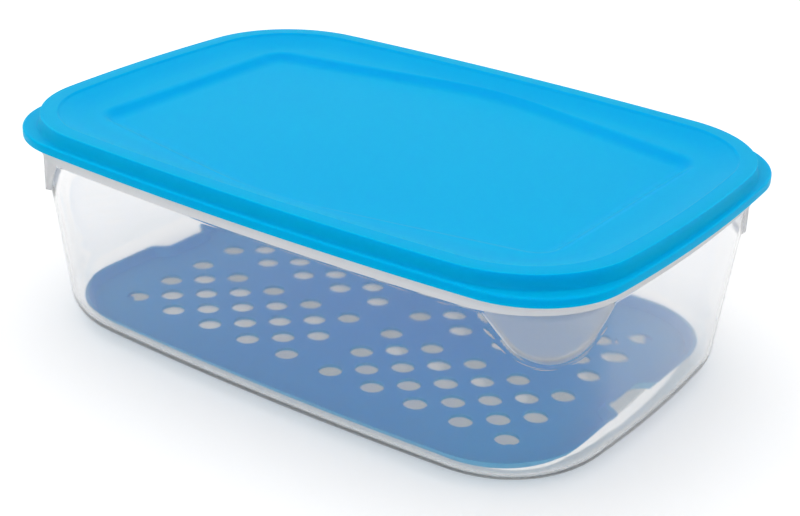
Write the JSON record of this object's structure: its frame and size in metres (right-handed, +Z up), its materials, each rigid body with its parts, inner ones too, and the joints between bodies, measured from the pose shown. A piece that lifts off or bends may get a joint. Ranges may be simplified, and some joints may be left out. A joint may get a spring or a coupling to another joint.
{
  "type": "airtight food storage container",
  "caption": "Clear rectangular food box with rounded corners, a press-on sealing lid and a perforated drain tray standing inside.",
  "frame": {"origin": "centre of the base, on the surface that the container stands on", "axes": "+X along the length, +Y across the width, +Z up through the lid"},
  "size_m": [0.29, 0.2026, 0.0946],
  "materials": {
    "box": "clear natural polypropylene, moulded",
    "lid": "satin cyan-blue polyethylene, moulded",
    "tray": "satin blue polypropylene, moulded"
  },
  "bodies": {
    "box": {"container_body": "box"},
    "lid": {"lid": "lid"},
    "tray": {"drain_tray": "tray"}
  },
  "joints": [
    {"name": "lid_lift", "type": "slide", "parent": "box", "child": "lid", "axis": [0, 0, 1], "range_m": [0, 0.05]},
    {"name": "tray_lift", "type": "slide", "parent": "box", "child": "tray", "axis": [0, 0, 1], "range_m": [0, 0.06]}
  ]
}
